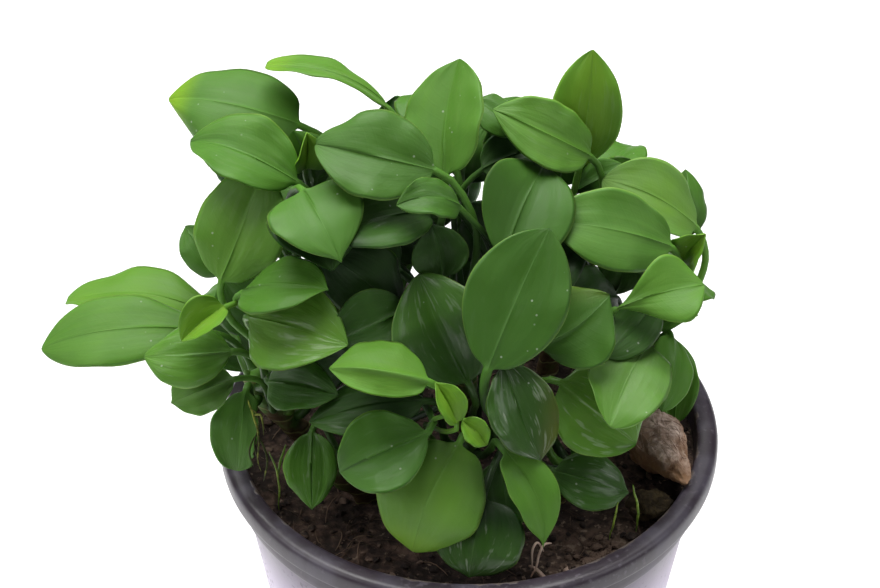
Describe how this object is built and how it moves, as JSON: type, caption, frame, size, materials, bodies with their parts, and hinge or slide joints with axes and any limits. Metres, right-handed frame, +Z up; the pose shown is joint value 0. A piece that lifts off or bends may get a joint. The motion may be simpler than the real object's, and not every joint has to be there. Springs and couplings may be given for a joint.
{
  "type": "potted anubias",
  "caption": "Small water plant with glossy oval leaves on creeping rhizomes, growing in a round plastic nursery pot of dark peat",
  "frame": {"origin": "Centre of the flat underside of the pot, on the surface that it stands on.", "axes": "+Z up, +Y away from the viewer of the front, +X to the viewer's right. The plant leans out furthest to -X."},
  "size_m": [0.1204, 0.0912, 0.1481],
  "materials": {
    "pot": "dark moulded plastic, scuffed and faintly streaked, with a soft sheen",
    "soil": "moist dark peat with brown fibres",
    "fibre": "crumpled pale brown growing fibre, matt",
    "moss": "matted brown moss and fibre",
    "root": "pale thin root",
    "rhizome": "green ringed stem, half gloss",
    "leaf": "waxy mid green leaf, half gloss, paler midrib",
    "leaf_light": "waxy fresh green leaf, half gloss, paler midrib",
    "leaf_dark": "waxy deep green leaf, wet gloss"
  },
  "bodies": {
    "root": {"fibre_plug": "fibre", "leaf_back_far_left": "leaf", "leaf_back_far_right": "leaf_light", "leaf_back_left_high": "leaf_light", "leaf_back_top": "leaf", "leaf_behind_hero": "leaf", "leaf_centre_dark": "leaf_dark", "leaf_centre_left": "leaf_dark", "leaf_centre_low": "leaf_dark", "leaf_crest": "leaf_light", "leaf_crest_edge": "leaf_light", "leaf_crest_grey": "leaf", "leaf_front_bright": "leaf_light", "leaf_front_hanging": "leaf_light", "leaf_front_hero": "leaf", "leaf_front_low": "leaf", "leaf_front_olive": "leaf_dark", "leaf_gloss": "leaf_dark", "leaf_left_big": "leaf", "leaf_left_curly": "leaf", "leaf_left_dark": "leaf_dark", "leaf_left_far": "leaf_light", "leaf_left_glossy": "leaf_dark", "leaf_left_grey": "leaf", "leaf_left_high": "leaf", "leaf_left_rear": "leaf_light", "leaf_left_round": "leaf_dark", "leaf_low_front": "leaf_dark", "leaf_low_left": "leaf_dark", "leaf_low_long": "leaf_dark", "leaf_low_mid": "leaf", "leaf_low_right": "leaf_dark", "leaf_right_crest": "leaf", "leaf_right_grey": "leaf", "leaf_right_inner": "leaf", "leaf_right_light": "leaf_light", "leaf_right_low": "leaf_dark", "leaf_right_mid": "leaf", "leaf_right_square": "leaf", "leaf_right_under": "leaf_dark", "leaf_right_upright": "leaf_light", "leaf_right_wedge": "leaf_light", "leaf_top_fold": "leaf", "leaf_top_rear": "leaf", "leaf_top_trough": "leaf", "leaf_top_under": "leaf", "moss_lump": "moss", "pot": "pot", "rhizome_back_left": "rhizome", "rhizome_back_right": "rhizome", "rhizome_centre": "rhizome", "rhizome_front": "rhizome", "rhizome_left": "rhizome", "rhizome_low_left": "rhizome", "rhizome_low_right": "rhizome", "rhizome_right": "rhizome", "rhizome_upper_left": "rhizome", "root_front": "root", "root_right": "root", "soil": "soil"}
  },
  "joints": []
}
